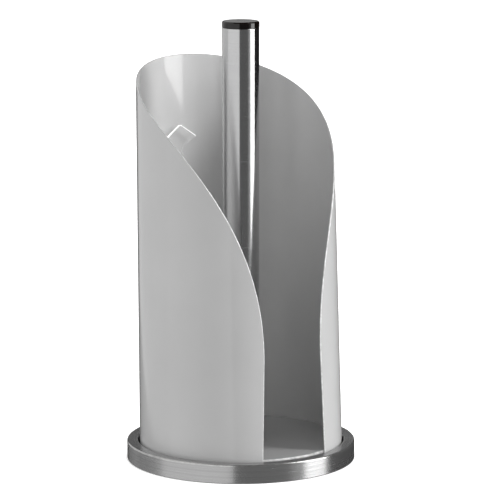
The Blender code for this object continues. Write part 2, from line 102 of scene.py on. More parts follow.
# Turns an outline round +Z: x = out cos(turn), y = out sin(turn), z = height. A closed outline makes a ring
# of quads both ways round. An open one, whose ends are on the axis, ends in a fan round one point.
# hexShare blends each point's distance out towards a hexagon's: 1 / cos(turn from the middle of its side).
def turnedMesh(name, outline, edge, segments, centre=(0, 0), hexShare=None, closed=True):
    turn = np.linspace(0, 2 * np.pi, segments, endpoint=False)[:, None]
    out, height = outline[None, :, 0], outline[None, :, 1]
    if hexShare is not None:
        side = np.mod(turn, np.pi / 3) - np.pi / 6
        out = out * (1 + hexShare[None] * (1 / np.cos(side) - 1))
    x, y = centre[0] + out * np.cos(turn), centre[1] + out * np.sin(turn)
    points = np.stack([x, y, height + 0 * turn], axis=2)
    edges = np.broadcast_to(edge, points.shape[:2])
    triangles = np.zeros((0, 3), int)
    if closed:
        index = np.arange(points.shape[0] * points.shape[1]).reshape(points.shape[:2])
        along = np.roll(index, -1, axis=1)
        around, both = np.roll(index, -1, axis=0), np.roll(along, -1, axis=0)
        quads = np.stack([index, along, both, around], axis=2).reshape(-1, 4)
        return closedMesh(name, points.reshape(-1, 3), quads, triangles, edges.ravel())
    poles = np.array([[*centre, outline[0, 1]], [*centre, outline[-1, 1]]])
    inner = points[:, 1:-1]
    index = np.arange(inner.shape[0] * inner.shape[1]).reshape(inner.shape[:2])
    around = np.roll(index, -1, axis=0)
    corners = [index[:, :-1], index[:, 1:], around[:, 1:], around[:, :-1]]
    quads = np.stack(corners, axis=2).reshape(-1, 4)
    low, high = index.size, index.size + 1
    fans = [
        np.stack([0 * index[:, 0] + low, index[:, 0], around[:, 0]], axis=1),
        np.stack([0 * index[:, 0] + high, around[:, -1], index[:, -1]], axis=1),
    ]
    points = np.concatenate([inner.reshape(-1, 3), poles])
    edges = np.concatenate([edges[:, 1:-1].ravel(), [0, 0]])
    return closedMesh(name, points, quads, np.concatenate(fans), edges)


# Closes a thin sheet with a rounded rim. place(across, up, inset, depth) gives the point at those shares of
# the sheet, inset from its outline and depth below its front. Both skins are inset by the edge's round, and
# rings between them follow a quarter circle, the flat of the cut and a second quarter circle.
# Rows crowd towards the outline as half of 1 - cos does, which keeps the skins flat beside the rim.
def sheetMesh(name, place, columns, rows, sheet, edgeRound, steps=4):
    up = 0.5 - 0.5 * np.cos(np.linspace(0, np.pi, rows + 1))
    across, up = np.meshgrid(np.linspace(0, 1, columns + 1), up, indexing="ij")
    index = np.arange(across.size).reshape(across.shape)
    rim = np.concatenate([index[:-1, 0], index[-1, :-1], index[:0:-1, -1], index[0, :0:-1]])
    across, up = across.ravel(), up.ravel()
    turn = np.linspace(0, np.pi / 2, steps + 1)
    inset, depth = edgeRound * (1 - np.sin(turn)), edgeRound * (1 - np.cos(turn))
    inset = np.concatenate([inset, inset[::-1]])
    depth = np.concatenate([depth, sheet - depth[::-1]])
    layers = [place(across, up, inset[0], depth[0]), place(across, up, inset[-1], depth[-1])]
    layers += [place(across[rim], up[rim], i, d) for i, d in zip(inset[1:-1], depth[1:-1])]
    rings = 2 * index.size + np.arange((len(inset) - 2) * len(rim)).reshape(-1, len(rim))
    rings = np.concatenate([rim[None], rings, rim[None] + index.size])
    ahead = np.roll(rings, -1, axis=1)
    corners = [index[:-1, :-1], index[1:, :-1], index[1:, 1:], index[:-1, 1:]]
    skin = np.stack(corners, axis=2).reshape(-1, 4)
    rimFaces = np.stack([ahead[:-1], rings[:-1], rings[1:], ahead[1:]], axis=2).reshape(-1, 4)
    points = np.concatenate(layers)
    edge = np.zeros(len(points))
    edge[rings.ravel()] = 1
    quads = np.concatenate([skin, skin[:, ::-1] + index.size, rimFaces])
    return closedMesh(name, points, quads, np.zeros((0, 3), int), edge)


# A finished piece: it takes the material, rides on its body and stands for its CAD node.
def addPiece(name, mesh, material, node, body="holder"):
    piece = bpy.data.objects.new(name, mesh)
    bpy.context.scene.collection.objects.link(piece)
    mesh.materials.append(material)
    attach(piece, body)
    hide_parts(node)
    return piece


# A node group with named sockets. inputs are (name, kind, value), outputs are (name, kind).
def newGroup(name, inputs, outputs):
    group = bpy.data.node_groups.new(name, "ShaderNodeTree")
    for label, kind, value in inputs:
        socket = group.interface.new_socket(label, in_out="INPUT", socket_type=kind)
        if value is not None:
            socket.default_value = value
    for label, kind in outputs:
        group.interface.new_socket(label, in_out="OUTPUT", socket_type=kind)
    return group, group.nodes.new("NodeGroupInput").outputs, group.nodes.new("NodeGroupOutput").inputs


# Sets an input: a socket is linked, anything else is its value.
def feed(tree, socket, value):
    if isinstance(value, bpy.types.NodeSocket):
        tree.links.new(value, socket)
    else:
        socket.default_value = value


def mathNode(tree, operation, *values, clamp=False):
    node = tree.nodes.new("ShaderNodeMath")
    node.operation = operation
    node.use_clamp = clamp
    for socket, value in zip(node.inputs, values):
        feed(tree, socket, value)
    return node.outputs[0]


def noiseNode(tree, vector, scale, detail=3.0, roughness=0.5):
    node = tree.nodes.new("ShaderNodeTexNoise")
    feed(tree, node.inputs["Vector"], vector)
    feed(tree, node.inputs["Scale"], scale)
    feed(tree, node.inputs["Detail"], detail)
    feed(tree, node.inputs["Roughness"], roughness)
    return node.outputs["Fac"]


def spreadNode(tree, value, low, high, newLow=0.0, newHigh=1.0):
    node = tree.nodes.new("ShaderNodeMapRange")
    for socket, setting in zip(node.inputs, (value, low, high, newLow, newHigh)):
        feed(tree, socket, setting)
    return node.outputs[0]


def bumpNode(tree, height, strength, distance):
    node = tree.nodes.new("ShaderNodeBump")
    feed(tree, node.inputs["Height"], height)
    feed(tree, node.inputs["Strength"], strength)
    feed(tree, node.inputs["Distance"], distance)
    return node.outputs["Normal"]


brushLook = {
    "broadRun": 0.35,  # the broad streaks' run and fineness, as shares of the fine streaks'
    "broadFineness": 0.12,
    "fineShare": 0.65,  # how much of the pattern the fine streaks make
    "streakRange": (0.3, 0.7),
    "scratchRange": (0.64, 0.8),
    "streakHeight": 0.00002,
}


# Brushing that runs round the upright axis, on a wall, a flat rim and the bend between them: the noise
# moves slowly with x and y, and fast with the distance out less the height, which grows steadily over the
# bend. The distance out is the square root of x squared + y squared.
def makeRoundBrushing(look):
    group, given, made = newGroup("roundBrushing", [
        ("Vector", "NodeSocketVector", None),
        ("Run", "NodeSocketFloat", 14.0),
        ("Fineness", "NodeSocketFloat", 9000.0),
        ("Depth", "NodeSocketFloat", 0.3),
    ], [("Streak", "NodeSocketFloat"), ("Scratch", "NodeSocketFloat"), ("Normal", "NodeSocketVector")])
    apart = group.nodes.new("ShaderNodeSeparateXYZ")
    feed(group, apart.inputs[0], given["Vector"])
    x, y, z = apart.outputs
    squares = [mathNode(group, "POWER", side, 2.0) for side in (x, y)]
    out = mathNode(group, "SQRT", mathNode(group, "ADD", *squares))
    along = mathNode(group, "SUBTRACT", out, z)

    def streaks(run, fineness, detail):
        join = group.nodes.new("ShaderNodeCombineXYZ")
        feed(group, join.inputs[0], mathNode(group, "MULTIPLY", x, run))
        feed(group, join.inputs[1], mathNode(group, "MULTIPLY", y, run))
        feed(group, join.inputs[2], mathNode(group, "MULTIPLY", along, fineness))
        return noiseNode(group, join.outputs[0], 1.0, detail, roughness=0.6)

    fine = streaks(given["Run"], given["Fineness"], 3.0)
    broadRun = mathNode(group, "MULTIPLY", given["Run"], look["broadRun"])
    broadFineness = mathNode(group, "MULTIPLY", given["Fineness"], look["broadFineness"])
    broad = streaks(broadRun, broadFineness, 2.0)
    finePart = mathNode(group, "MULTIPLY", fine, look["fineShare"])
    broadPart = mathNode(group, "MULTIPLY", broad, 1 - look["fineShare"])
    both = mathNode(group, "ADD", finePart, broadPart)
    feed(group, made["Streak"], spreadNode(group, both, *look["streakRange"]))
    feed(group, made["Scratch"], spreadNode(group, fine, *look["scratchRange"]))
    feed(group, made["Normal"], bumpNode(group, both, given["Depth"], look["streakHeight"]))
    return group


# Slow and fine unevenness of a surface, for its colour and its roughness, with a bump of its fine grain.
def makeUnevenness():
    group, given, made = newGroup("unevenness", [
        ("Vector", "NodeSocketVector", None),
        ("Broad", "NodeSocketFloat", 30.0),
        ("Fine", "NodeSocketFloat", 900.0),
        ("Depth", "NodeSocketFloat", 0.2),
        ("Height", "NodeSocketFloat", 0.00005),
    ], [("Cloud", "NodeSocketFloat"), ("Grain", "NodeSocketFloat"), ("Normal", "NodeSocketVector")])
    cloud = noiseNode(group, given["Vector"], given["Broad"], detail=4.0, roughness=0.55)
    grain = noiseNode(group, given["Vector"], given["Fine"], detail=2.0, roughness=0.5)
    feed(group, made["Cloud"], spreadNode(group, cloud, 0.3, 0.7))
    feed(group, made["Grain"], spreadNode(group, grain, 0.25, 0.75))
    feed(group, made["Normal"], bumpNode(group, grain, given["Depth"], given["Height"]))
    return group


# Where handling has thinned or polished a rounded edge, broken up by a noise. On the painted sheet the same
# mask places a painted edge highlight and a painted edge shade, and on the clear plastic a painted white
# edge highlight.
def makeEdgeWearAndPaintedLight():
    group, given, made = newGroup("edgeWearAndPaintedLight", [
        ("Vector", "NodeSocketVector", None),
        ("Edge", "NodeSocketFloat", 0.0),
        ("Patch", "NodeSocketFloat", 240.0),
        ("Amount", "NodeSocketFloat", 0.6),
    ], [("MaskOfWearAndPaintedLight", "NodeSocketFloat")])
    patch = noiseNode(group, given["Vector"], given["Patch"], detail=4.0, roughness=0.6)
    broken = mathNode(group, "MULTIPLY", spreadNode(group, patch, 0.25, 0.65), given["Amount"])
    feed(group, made["MaskOfWearAndPaintedLight"], mathNode(group, "MULTIPLY", given["Edge"], broken, clamp=True))
    return group


# Faint smears and wiping marks: stretched noise, kept to its upper half.
def makeHandling():
    group, given, made = newGroup("handling", [
        ("Vector", "NodeSocketVector", None),
        ("Size", "NodeSocketFloat", 22.0),
        ("Amount", "NodeSocketFloat", 0.5),
    ], [("Smear", "NodeSocketFloat")])
    stretch = group.nodes.new("ShaderNodeMapping")
    stretch.inputs["Rotation"].default_value = (0.5, 0.3, 0.7)
    stretch.inputs["Scale"].default_value = (1.0, 1.0, 2.6)
    feed(group, stretch.inputs["Vector"], given["Vector"])
    smear = noiseNode(group, stretch.outputs[0], given["Size"], detail=5.0, roughness=0.62)
    smear = spreadNode(group, smear, 0.48, 0.72)
    feed(group, made["Smear"], mathNode(group, "MULTIPLY", smear, given["Amount"]))
    return group


roundBrushing = makeRoundBrushing(brushLook)
unevenness = makeUnevenness()
edgeWearAndPaintedLight = makeEdgeWearAndPaintedLight()
handling = makeHandling()
print("shader groups built")

# A new material: its tree, its shader, its Object coordinates and its piece's edge attribute.
def newFinish(name):
    material = bpy.data.materials.new(name)
    material.use_nodes = True
    tree = material.node_tree
    edge = tree.nodes.new("ShaderNodeAttribute")
    edge.attribute_name = "edge"
    place = tree.nodes.new("ShaderNodeTexCoord").outputs["Object"]
    return material, tree, tree.nodes["Principled BSDF"].inputs, place, edge.outputs["Fac"]


def useGroup(tree, group, **values):
    node = tree.nodes.new("ShaderNodeGroup")
    node.node_tree = group
    for label, value in values.items():
        feed(tree, node.inputs[label], value)
    return node.outputs


def blendColour(tree, share, first, second):
    node = tree.nodes.new("ShaderNodeMix")
    node.data_type = "RGBA"
    feed(tree, node.inputs["Factor"], share)
    for socket, colour in ((node.inputs[6], first), (node.inputs[7], second)):
        feed(tree, socket, colour if isinstance(colour, bpy.types.NodeSocket) else (*colour, 1.0))
    return node.outputs[2]


# base + the sum of each mask times its share, as one value.
def sumOf(tree, base, *terms):
    total = base
    for mask, share in terms:
        total = mathNode(tree, "ADD", total, mathNode(tree, "MULTIPLY", mask, share))
    return total


# Stainless steel brushed round its axis. Its gloss stretches across the brushing.
def makeBrushedSteel(name, dark, light, wearAndHighlightColour, run, fineness, depth, roughness, stretch, metallic):
    material, tree, shader, place, edge = newFinish(name)
    brushing = useGroup(tree, roundBrushing, Vector=place, Run=run, Fineness=fineness, Depth=depth)
    cloud = useGroup(tree, unevenness, Vector=place, Broad=18.0)["Cloud"]
    wearAndPaintedLight = useGroup(tree, edgeWearAndPaintedLight, Vector=place, Edge=edge, Patch=320.0, Amount=0.7)["MaskOfWearAndPaintedLight"]
    smear = useGroup(tree, handling, Vector=place, Size=26.0, Amount=0.5)["Smear"]
    colour = blendColour(tree, brushing["Streak"], dark, light)
    colour = blendColour(tree, mathNode(tree, "MULTIPLY", cloud, 0.25), colour, dark)
    colour = blendColour(tree, wearAndPaintedLight, colour, wearAndHighlightColour)
    feed(tree, shader["Base Color"], colour)
    shader["Metallic"].default_value = metallic
    shares = (brushing["Streak"], 0.02), (brushing["Scratch"], 0.02), (smear, 0.07), (wearAndPaintedLight, -0.05)
    feed(tree, shader["Roughness"], sumOf(tree, roughness, *shares))
    feed(tree, shader["Normal"], brushing["Normal"])
    shader["Anisotropic"].default_value = stretch
    shader["Anisotropic Rotation"].default_value = 0.25
    tangent = tree.nodes.new("ShaderNodeTangent")
    tangent.direction_type = "RADIAL"
    tangent.axis = "Z"
    feed(tree, shader["Tangent"], tangent.outputs[0])
    return material


# Gloss paint on sheet steel: a grey film with the faint ripple of sprayed paint. Its cut edges carry
# painted light:
# a painted shade above the turn's upper height, and a lighter painted highlight below its lower height.
def makeGlossPaint(name, grey, roughness, ripple, paintedEdgeShade, wearAndHighlightColour, turn):
    material, tree, shader, place, edge = newFinish(name)
    film = useGroup(tree, unevenness, Vector=place, Broad=14.0, Fine=420.0, Depth=ripple, Height=0.00004)
    speck = useGroup(tree, unevenness, Vector=place, Broad=160.0, Fine=2600.0)
    wearAndPaintedLight = useGroup(tree, edgeWearAndPaintedLight, Vector=place, Edge=edge, Patch=260.0, Amount=1.0)["MaskOfWearAndPaintedLight"]
    smear = useGroup(tree, handling, Vector=place, Size=16.0, Amount=0.6)["Smear"]
    darker, lighter, speckled = ([g * share for g in grey] for share in (0.965, 1.03, 0.8))
    colour = blendColour(tree, film["Cloud"], darker, lighter)
    colour = blendColour(tree, mathNode(tree, "MULTIPLY", speck["Grain"], 0.12), colour, speckled)
    level = tree.nodes.new("ShaderNodeSeparateXYZ")
    feed(tree, level.inputs[0], place)
    # the cut edge's colour by height: a painted shade above the turn, a painted highlight below it
    paintedEdgeLight = blendColour(tree, spreadNode(tree, level.outputs[2], *turn), paintedEdgeShade, wearAndHighlightColour)
    colour = blendColour(tree, wearAndPaintedLight, colour, paintedEdgeLight)
    feed(tree, shader["Base Color"], colour)
    shares = (film["Cloud"], 0.03), (smear, 0.06), (speck["Cloud"], 0.02), (wearAndPaintedLight, 0.05)
    feed(tree, shader["Roughness"], sumOf(tree, roughness, *shares))
    feed(tree, shader["Normal"], film["Normal"])
    shader["IOR"].default_value = 1.45
    shader["Coat Weight"].default_value = 0.15
    shader["Coat Roughness"].default_value = 0.04
    return material


# Moulded plastic or rubber: a dark body with a fine spark texture, rubbed lighter on its edges.
def makeMoulded(name, body, wearAndHighlightColour, roughness, grain, depth):
    material, tree, shader, place, edge = newFinish(name)
    skin = useGroup(tree, unevenness, Vector=place, Broad=45.0, Fine=grain, Depth=depth, Height=0.00006)
    wearAndPaintedLight = useGroup(tree, edgeWearAndPaintedLight, Vector=place, Edge=edge, Patch=300.0, Amount=0.6)["MaskOfWearAndPaintedLight"]
    smear = useGroup(tree, handling, Vector=place, Size=40.0, Amount=0.6)["Smear"]
    colour = blendColour(tree, skin["Cloud"], body, [c * 1.25 for c in body])
    colour = blendColour(tree, mathNode(tree, "MULTIPLY", smear, 0.2), colour, wearAndHighlightColour)
    colour = blendColour(tree, wearAndPaintedLight, colour, wearAndHighlightColour)
    feed(tree, shader["Base Color"], colour)
    shares = (skin["Grain"], 0.08), (smear, 0.1), (wearAndPaintedLight, -0.08)
    feed(tree, shader["Roughness"], sumOf(tree, roughness, *shares))
    feed(tree, shader["Normal"], skin["Normal"])
    return material


# Bare or plated metal of the hidden fittings, with a mottled plating and bright edges.
def makePlated(name, dull, bright, roughness, grain, depth, metallic):
    material, tree, shader, place, edge = newFinish(name)
    plating = useGroup(tree, unevenness, Vector=place, Broad=120.0, Fine=grain, Depth=depth, Height=0.00008)
    wearAndPaintedLight = useGroup(tree, edgeWearAndPaintedLight, Vector=place, Edge=edge, Patch=500.0, Amount=0.8)["MaskOfWearAndPaintedLight"]
    colour = blendColour(tree, plating["Cloud"], dull, bright)
    colour = blendColour(tree, wearAndPaintedLight, colour, [b * 1.2 for b in bright])
    feed(tree, shader["Base Color"], colour)
    shader["Metallic"].default_value = metallic
    feed(tree, shader["Roughness"], sumOf(tree, roughness, (plating["Grain"], 0.12), (wearAndPaintedLight, -0.1)))
    feed(tree, shader["Normal"], plating["Normal"])
    return material


# Clear plastic: a film that the wall shows through, with faint flow marks. Its edges carry a painted glow,
# an emission and more opacity that stand in for light caught on them, rising from dimmest to full between
# its two glow heights.
def makeClear(name, tint, roughness, film, rim, paintedGlowHeights, dimmest, glow):
    material, tree, shader, place, edge = newFinish(name)
    flow = useGroup(tree, unevenness, Vector=place, Broad=90.0, Fine=500.0, Depth=0.15, Height=0.00003)
    wearAndPaintedLight = useGroup(tree, edgeWearAndPaintedLight, Vector=place, Edge=edge, Patch=300.0, Amount=0.4)["MaskOfWearAndPaintedLight"]
    smear = useGroup(tree, handling, Vector=place, Size=60.0, Amount=0.5)["Smear"]
    colour = blendColour(tree, flow["Cloud"], tint, [t * 0.97 for t in tint])
    # the edges are whitened by the edge mask: wear and a painted highlight
    feed(tree, shader["Base Color"], blendColour(tree, wearAndPaintedLight, colour, (1.0, 1.0, 1.0)))
    feed(tree, shader["Roughness"], sumOf(tree, roughness, (smear, 0.08), (wearAndPaintedLight, 0.12)))
    level = tree.nodes.new("ShaderNodeSeparateXYZ")
    feed(tree, level.inputs[0], place)
    # the painted edge glow: dimmest on the lower edges, full above the glow heights
    lit = mathNode(tree, "MULTIPLY", edge, spreadNode(tree, level.outputs[2], *paintedGlowHeights, dimmest, 1.0))
    feed(tree, shader["Emission Color"], blendColour(tree, lit, (0, 0, 0), glow))
    shader["Emission Strength"].default_value = 1.0
    feed(tree, shader["Alpha"], sumOf(tree, film, (lit, rim), (smear, 0.04)))
    feed(tree, shader["Normal"], flow["Normal"])
    shader["IOR"].default_value = 1.5
    return material


steelLooks = {
    "ringSteel": {
        "dark": (0.36, 0.36, 0.36), "light": (0.52, 0.52, 0.52), "wearAndHighlightColour": (0.62, 0.62, 0.61),
        "run": 12.0, "fineness": 7000.0, "depth": 0.2, "roughness": 0.24, "stretch": 0.78, "metallic": 0.88,
    },
    "poleSteel": {
        "dark": (0.54, 0.54, 0.545), "light": (0.62, 0.62, 0.62), "wearAndHighlightColour": (0.62, 0.62, 0.61),
        "run": 30.0, "fineness": 9000.0, "depth": 0.06, "roughness": 0.23, "stretch": 0.97, "metallic": 1.0,
    },
}
paintLooks = {
    # grey is the paint's own colour; on the cut edges, a painted shade above the turn and a painted
    # highlight below it
    "sleevePaint": {
        "grey": (0.56, 0.56, 0.56), "roughness": 0.10, "ripple": 0.10,
        "paintedEdgeShade": (0.42, 0.42, 0.42), "wearAndHighlightColour": (0.98, 0.98, 0.98), "turn": (0.215, 0.185),
    },
    # the tray has the sleeve's paint: its darker grey is a painted shade for the bottom of the sleeve, and
    # its lighter edge colour a painted highlight on its front edge
    "shadedTrayPaint": {
        "grey": (0.36, 0.36, 0.36), "roughness": 0.08, "ripple": 0.08,
        "paintedEdgeShade": (0.42, 0.42, 0.42), "wearAndHighlightColour": (0.70, 0.70, 0.70), "turn": (0.215, 0.185),
    },
}
platedLooks = {
    "castIron": {
        "dull": (0.055, 0.055, 0.058), "bright": (0.11, 0.11, 0.115),
        "roughness": 0.62, "grain": 1400.0, "depth": 0.7, "metallic": 0.8,
    },
    "zincPlate": {
        "dull": (0.48, 0.49, 0.50), "bright": (0.64, 0.64, 0.62),
        "roughness": 0.3, "grain": 1100.0, "depth": 0.25, "metallic": 1.0,
    },
}
mouldedLooks = {
    "platePlastic": {
        "body": (0.022, 0.022, 0.023), "wearAndHighlightColour": (0.07, 0.07, 0.07),
        "roughness": 0.5, "grain": 1700.0, "depth": 0.5,
    },
    "footRubber": {
        "body": (0.03, 0.03, 0.03), "wearAndHighlightColour": (0.09, 0.09, 0.09),
        "roughness": 0.75, "grain": 1300.0, "depth": 0.5,
    },
    "capPlastic": {
        "body": (0.0025, 0.0014, 0.0012), "wearAndHighlightColour": (0.02, 0.014, 0.012),
        "roughness": 0.05, "grain": 1500.0, "depth": 0.03,
    },
}
# the clear pieces' edges carry a painted glow: its colour, its least share and the heights it rises between
clearLooks = {
    "clearPlastic": {
        "tint": (0.96, 0.965, 0.965), "roughness": 0.04, "film": 0.07, "rim": 0.9,
        "paintedGlowHeights": (0.2136, 0.2156), "dimmest": 0.12, "glow": (0.55, 0.55, 0.55),
    },
    "clearTape": {
        "tint": (0.9, 0.9, 0.88), "roughness": 0.35, "film": 0.3, "rim": 0.2,
        "paintedGlowHeights": (0.20, 0.25), "dimmest": 0.12, "glow": (0.55, 0.55, 0.55),
    },
}

ringSteel, poleSteel = (makeBrushedSteel(name, **look) for name, look in steelLooks.items())
sleevePaint, shadedTrayPaint = (makeGlossPaint(name, **look) for name, look in paintLooks.items())
castIron, zincPlate = (makePlated(name, **look) for name, look in platedLooks.items())
platePlastic, footRubber, capPlastic = (makeMoulded(name, **look) for name, look in mouldedLooks.items())
clearPlastic, clearTape = (makeClear(name, **look) for name, look in clearLooks.items())
print("materials built")

baseSizes = {
    "segments": 288,
    "rimWidth": 0.0074,
    "sheet": 0.0008,
    "lipDrop": 0.0024,
    "edgeRound": 0.0011,
    "lipRound": 0.0006,
    "cutRound": 0.0002,
}


# The spun ring: an outer wall, a flat rim and a lip turned down at its mouth.
def makeBaseRing(sizes):
    low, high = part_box("base_ring")
    out, top, sheet, cut = high.x, high.z, sizes["sheet"], sizes["cutRound"]
    mouth = out - sizes["rimWidth"]
    outline, edge = roundedOutline([
        (mouth, top - sizes["lipDrop"], cut),
        (mouth, top, sizes["lipRound"]),
        (out, top, sizes["edgeRound"]),
        (out, low.z, cut),
        (out - sheet, low.z, cut),
        (out - sheet, top - sheet, sheet / 4),
        (mouth + sheet, top - sheet, sheet / 4),
        (mouth + sheet, top - sizes["lipDrop"], cut),
    ])
    mesh = turnedMesh("baseRing", outline, edge, sizes["segments"])
    return addPiece("baseRing", mesh, ringSteel, "base_ring")


traySizes = {
    "segments": 288,
    "sheet": 0.001,
    "edgeRound": 0.0011,
    "boltHole": 0.0033,
    "seat": 0.0131,
    "seatDepth": 0.0003,
    "cutRound": 0.0002,
}


# The painted tray: a flat floor with a rounded edge, a skirt and a shallow recess for the pole.
def makeRollTray(sizes):
    low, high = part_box("floor_disc")
    out, top, sheet, cut = high.x, high.z, sizes["sheet"], sizes["cutRound"]
    step = sizes["seatDepth"]
    outline, edge = roundedOutline([
        (sizes["boltHole"], top - sheet, cut),
        (out - sheet, top - sheet, sizes["edgeRound"] - sheet),
        (out - sheet, low.z, cut),
        (out, low.z, cut),
        (out, top, sizes["edgeRound"]),
        (sizes["seat"], top, step / 3),
        (sizes["seat"], top - step, step / 3),
        (sizes["boltHole"], top - step, cut),
    ])
    mesh = turnedMesh("rollTray", outline, edge, sizes["segments"])
    return addPiece("rollTray", mesh, shadedTrayPaint, "floor_disc")


footSizes = {
    "segments": 72,
    "rimRound": 0.0003,
    "grooveAt": 0.66,
    "grooveWidth": 0.0007,
    "grooveDepth": 0.00035,
}


# A rubber foot: a low disc with a rounded rim and a moulded groove in its sole.
def makeFoot(number, sizes):
    low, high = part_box(f"foot_pad_{number}")
    out, soft = (high.x - low.x) / 2, sizes["rimRound"]
    centre = ((low.x + high.x) / 2, (low.y + high.y) / 2)
    groove, wide, deep = out * sizes["grooveAt"], sizes["grooveWidth"], sizes["grooveDepth"]
    outline, edge = roundedOutline([
        (0, low.z, 0),
        (groove, low.z, soft / 3),
        (groove + wide / 4, low.z + deep, soft / 3),
        (groove + wide * 3 / 4, low.z + deep, soft / 3),
        (groove + wide, low.z, soft / 3),
        (out, low.z, soft),
        (out, high.z, soft / 2),
        (0, high.z, 0),
    ])
    mesh = turnedMesh(f"footPad{number}", outline, edge, sizes["segments"], centre, closed=False)
    return addPiece(f"footPad{number}", mesh, footRubber, f"foot_pad_{number}")


screwSizes = {
    "segments": 72,
    "head": 0.00275,
    "headHeight": 0.0014,
    "shank": 0.0015,
    "socket": 0.0009,
    "soft": 0.0001,
    "pitch": 0.0005,
    "ridge": 0.00012,
    "threadPoints": 90,
    "bareNeck": 0.0003,
    "bareTip": 0.0002,
    "tipTaper": 0.0004,
}


# A headed fitting with a hexagon socket and a thread. head is its outline from the socket's middle to the
# neck. The thread is a row of rounded ridges, out = shank - ridge x (1 - cos(2 pi x rise / pitch)), and a
# flat tip closes it.
def threadedMesh(name, head, edge, neck, top, centre, sizes):
    inSocket = head[:, 0] <= sizes["socket"] * hexFlat + sizes["soft"]
    height = np.linspace(neck + sizes["bareNeck"], top - sizes["bareTip"], sizes["threadPoints"])
    ridge = np.cos((height - height[0]) * 2 * np.pi / sizes["pitch"])
    thread = np.stack([sizes["shank"] - sizes["ridge"] * (1 - ridge), height], axis=1)
    tip = np.array([[sizes["shank"] - sizes["tipTaper"], top], [0, top]])
    outline = np.concatenate([head, thread, tip])
    edge = np.concatenate([edge, 0.5 + 0.5 * ridge, [0, 0]])
    share = np.concatenate([inSocket, np.zeros(len(thread) + 2)]).astype(float)
    return turnedMesh(name, outline, edge, sizes["segments"], centre, share, closed=False)


# A countersunk screw, head down.
def makePlateScrew(number, sizes):
    low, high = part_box(f"bottom_screw_{number}")
    centre = ((low.x + high.x) / 2, (low.y + high.y) / 2)
    head, shank, socket, soft = sizes["head"], sizes["shank"], sizes["socket"] * hexFlat, sizes["soft"]
    neck, floor = low.z + sizes["headHeight"], low.z + sizes["headHeight"] / 2
    capped, edge = roundedOutline([
        (0, floor, 0),
        (socket, floor, soft / 2),
        (socket, low.z, soft / 2),
        (head, low.z, soft),
        (shank, neck, soft),
    ])
    mesh = threadedMesh(f"plateScrew{number}", capped[:-2], edge[:-2], neck, high.z, centre, sizes)
    return addPiece(f"plateScrew{number}", mesh, zincPlate, f"bottom_screw_{number}")


makeBaseRing(baseSizes)
makeRollTray(traySizes)
for footNumber in range(1, 5):
    makeFoot(footNumber, footSizes)
for screwNumber in range(1, 4):
    makePlateScrew(screwNumber, screwSizes)
print("base built")

sleeveSizes = {
    "columns": 300,
    "rows": 56,
    "radius": 0.0693,
    "sheet": 0.001,
    "edgeRound": 0.00045,
    "top": 0.2715,
    "straightTop": 0.0775,
    "slotWidth": 0.0515,
    "taper": 0.0122,
    "lean": 0.0175,
    "foot": 0.0134,
    "highSide": math.radians(123.75),
    "uprightSide": math.radians(182),
}


# A point of the rolled sleeve. Its radius shrinks by taper per metre above the foot, the round section's
# centre moves by lean per metre towards the upright side, and the angle is the high side's plus the
# distance along the sheet / radius.
def sleevePoint(along, height, depth, sizes):
    radius = sizes["radius"] - sizes["taper"] * np.maximum(0, height - sizes["foot"])
    shift = sizes["lean"] * np.maximum(0, height - sizes["foot"])
    angle = sizes["highSide"] + along / radius
    x = shift * math.cos(sizes["uprightSide"]) + (radius - depth) * np.cos(angle)
    y = shift * math.sin(sizes["uprightSide"]) + (radius - depth) * np.sin(angle)
    return np.stack([x, y, height + 0 * x], axis=-1)


# The blank has straight sides and half an ellipse for its top: along = half width x sin(sweep), and the
# top edge is at straight top + arch height x cos(sweep), as sweep goes from -90 to 90 degrees.
def makeSleeve(sizes):
    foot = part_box("sleeve")[0].z
    halfBlank = math.pi * sizes["radius"] - sizes["slotWidth"] / 2
    arch = sizes["top"] - sizes["straightTop"]

    def place(across, up, inset, depth):
        sweep = np.pi * (across - 0.5)
        along = (halfBlank - inset) * np.sin(sweep)
        edge = sizes["straightTop"] + (arch - inset) * np.cos(sweep)
        height = foot + inset + (edge - foot - inset) * up
        return sleevePoint(along, height, depth, sizes)

    columns, rows = sizes["columns"], sizes["rows"]
    mesh = sheetMesh("sleeveSheet", place, columns, rows, sizes["sheet"], sizes["edgeRound"])
    return addPiece("sleeveSheet", mesh, sleevePaint, "sleeve")


makeSleeve(sleeveSizes)
print("sleeve built")

poleSizes = {
    "segments": 144,
    "wall": 0.001,
    "mouthRound": 0.0004,
    "cutRound": 0.0002,
    "capChamfer": 0.0008,
    "capChamferRound": 0.00025,
    "plugDepth": 0.009,
    "plugWall": 0.0018,
    "plugGap": 0.0003,
}


# The brushed tube, open at both ends, with its edges just broken.
def makePoleTube(sizes):
    low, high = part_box("pole_tube")
    out, bore = high.x, high.x - sizes["wall"]
    outline, edge = roundedOutline([
        (bore, low.z, sizes["cutRound"]),
        (out, low.z, sizes["cutRound"]),
        (out, high.z, sizes["mouthRound"]),
        (bore, high.z, sizes["cutRound"]),
    ])
    mesh = turnedMesh("poleTube", outline, edge, sizes["segments"])
    return addPiece("poleTube", mesh, poleSteel, "pole_tube")


